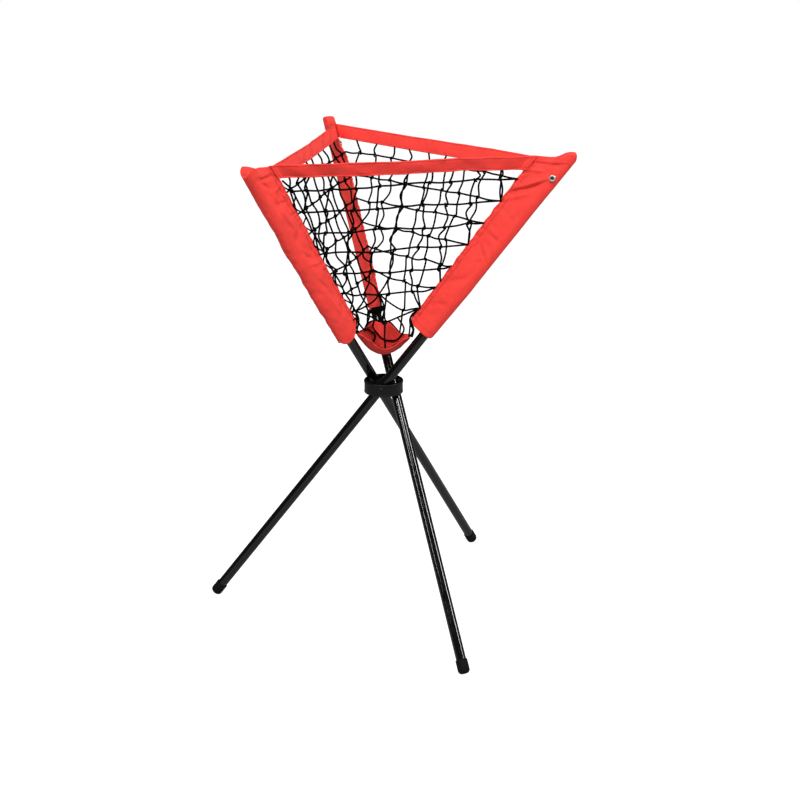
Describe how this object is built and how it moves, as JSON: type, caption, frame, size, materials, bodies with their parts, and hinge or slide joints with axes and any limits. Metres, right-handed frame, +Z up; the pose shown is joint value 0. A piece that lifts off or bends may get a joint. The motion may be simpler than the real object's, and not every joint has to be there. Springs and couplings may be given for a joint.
{
  "type": "folding ball caddy",
  "caption": "Folding ball caddy: crossed steel tubes in a plastic hub carry flat fabric sleeves, rim bands and a tapering net basket above splayed legs.",
  "frame": {"origin": "on the floor, below the middle of the object's bounding box", "axes": "+Z up; -Y towards the front, where the front net panel faces and the foot of the rear tube stands; +X to the right"},
  "size_m": [0.62, 0.7046, 0.9115],
  "materials": {
    "tube_paint": "glossy black powder coat",
    "hub_plastic": "moulded black plastic with a soft sheen",
    "foot_rubber": "matt black rubber",
    "sleeve_fabric": "bright red woven nylon with a faint sheen",
    "band_fabric": "bright red woven nylon",
    "net_cord": "twisted black cord, knotted",
    "rivet_steel": "plain nickel",
    "pivot_steel": "blackened",
    "nylon": "natural nylon"
  },
  "bodies": {
    "hub": {"hub": "hub_plastic", "pivot_bolt_right": "pivot_steel", "pivot_bolt_rear": "pivot_steel", "pivot_bolt_left": "pivot_steel", "pivot_spacer_right": "nylon", "pivot_spacer_rear": "nylon", "pivot_spacer_left": "nylon", "net_panel_front": "net_cord", "net_panel_right": "net_cord", "net_panel_left": "net_cord", "rim_band_front": "band_fabric", "rim_band_right": "band_fabric", "rim_band_left": "band_fabric", "floor_patch": "band_fabric"},
    "leg_right": {"leg_tube_right": "tube_paint", "foot_cap_right": "foot_rubber", "top_plug_right": "hub_plastic", "sleeve_right": "sleeve_fabric", "sleeve_rivet_right": "rivet_steel"},
    "leg_rear": {"leg_tube_rear": "tube_paint", "foot_cap_rear": "foot_rubber", "top_plug_rear": "hub_plastic", "sleeve_rear": "sleeve_fabric", "sleeve_rivet_rear": "rivet_steel"},
    "leg_left": {"leg_tube_left": "tube_paint", "foot_cap_left": "foot_rubber", "top_plug_left": "hub_plastic", "sleeve_left": "sleeve_fabric", "sleeve_rivet_left": "rivet_steel"}
  },
  "joints": [
    {"name": "fold_right", "type": "hinge", "parent": "hub", "child": "leg_right", "pos_m": [0, -0.02189, 0.457], "axis": [-0.5, -0.866, 0], "range_deg": [0, 37], "deforming": ["sleeve_right", "net_panel_front", "net_panel_right", "net_panel_left", "rim_band_front", "rim_band_right", "rim_band_left", "floor_patch"]},
    {"name": "fold_rear", "type": "hinge", "parent": "hub", "child": "leg_rear", "pos_m": [0.02925, -0.005, 0.457], "axis": [1, 0, 0], "range_deg": [0, 37], "deforming": ["sleeve_rear"]},
    {"name": "fold_left", "type": "hinge", "parent": "hub", "child": "leg_left", "pos_m": [0, 0.01189, 0.457], "axis": [-0.5, 0.866, 0], "range_deg": [0, 37], "deforming": ["sleeve_left"]}
  ],
  "couplings": [
    {"joint": "fold_rear", "follows": "fold_right", "ratio": 1},
    {"joint": "fold_left", "follows": "fold_right", "ratio": 1}
  ]
}
